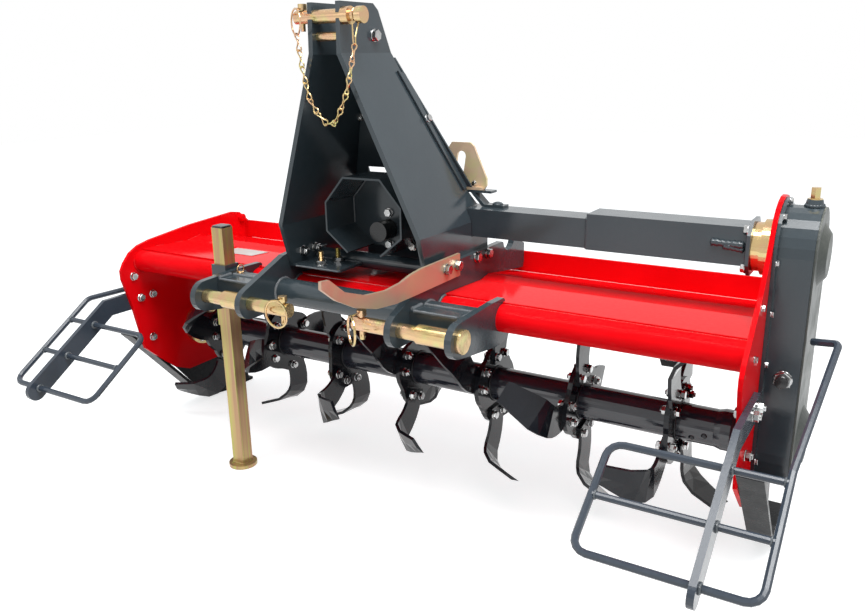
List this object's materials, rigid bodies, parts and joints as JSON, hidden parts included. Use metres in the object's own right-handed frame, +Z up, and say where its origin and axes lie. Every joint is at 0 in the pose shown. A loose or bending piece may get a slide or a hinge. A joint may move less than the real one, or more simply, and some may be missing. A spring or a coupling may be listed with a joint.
{
  "type": "rotary tiller",
  "caption": "Three-point rotary tiller with red hood, dark mast and hitch, flanged rotor with curved blades, side drive case, wheel guards, skids and a parking stand.",
  "frame": {"origin": "middle of the bounding box on the ground the skids and the stand rest on", "axes": "+X along the rotor towards the drive case, -Y towards the tractor, +Z up"},
  "size_m": [1.7065, 0.784, 1.03],
  "materials": {
    "red_paint": "glossy",
    "slate_paint": "satin",
    "black_paint": "satin",
    "yellow_zinc": "satin",
    "black_plastic": "matte"
  },
  "bodies": {
    "machine": {"side_plate_left": "red_paint", "side_plate_right": "red_paint", "front_tube": "red_paint", "hood_sheet": "red_paint", "rear_rail": "red_paint", "arm_left": "slate_paint", "arm_right": "slate_paint", "hitch_plate_left": "slate_paint", "hitch_plate_right": "slate_paint", "frame_tube": "slate_paint", "hitch_box_left": "slate_paint", "hitch_box_right": "slate_paint", "mast_plate_left": "slate_paint", "mast_plate_right": "slate_paint", "mast_back_cover": "slate_paint", "gearbox": "slate_paint", "gearbox_front_plate": "slate_paint", "input_shield": "slate_paint", "mast_cross_tube": "slate_paint", "grease_plate": "slate_paint", "drive_beam": "slate_paint", "beam_end_plate": "slate_paint", "lever_foot": "slate_paint", "side_case": "slate_paint", "case_cover": "slate_paint", "guard_left": "slate_paint", "guard_right": "slate_paint", "stand_guide": "slate_paint", "skid_left": "black_paint", "skid_right": "black_paint", "lower_pin_left": "yellow_zinc", "lower_pin_right": "yellow_zinc", "linch_pin_left": "yellow_zinc", "linch_pin_right": "yellow_zinc", "shaft_hook": "yellow_zinc", "top_pin": "yellow_zinc", "mast_spacer": "yellow_zinc", "top_linch_pin": "yellow_zinc", "retaining_chain": "yellow_zinc", "rotor_bearing_left": "yellow_zinc", "rotor_bearing_right": "yellow_zinc", "beam_bearing": "yellow_zinc", "lever_plate": "yellow_zinc", "case_breather": "yellow_zinc", "stand_plunger": "yellow_zinc"},
    "rotor": {"rotor_tube": "black_paint", "blade_flange_1": "black_paint", "blade_flange_2": "black_paint", "blade_flange_3": "black_paint", "blade_flange_4": "black_paint", "blade_flange_5": "black_paint", "blade_flange_6": "black_paint", "blade_flange_7": "black_paint"},
    "input": {"input_shaft": "yellow_zinc", "input_shaft_cap": "black_plastic"},
    "stand": {"stand_leg": "yellow_zinc"}
  },
  "joints": [
    {"name": "rotor_spin", "type": "hinge", "parent": "machine", "child": "rotor", "pos_m": [-0.0461, 0.1625, 0.237], "axis": [1, 0, 0], "continuous": true},
    {"name": "input_spin", "type": "hinge", "parent": "machine", "child": "input", "pos_m": [-0.0461, 0.072, 0.578], "axis": [0, 1, 0], "continuous": true},
    {"name": "stand_slide", "type": "slide", "parent": "machine", "child": "stand", "axis": [0, 0, 1], "range_m": [0, 0.33]}
  ],
  "couplings": [
    {"joint": "input_spin", "follows": "rotor_spin", "ratio": -2.7}
  ]
}
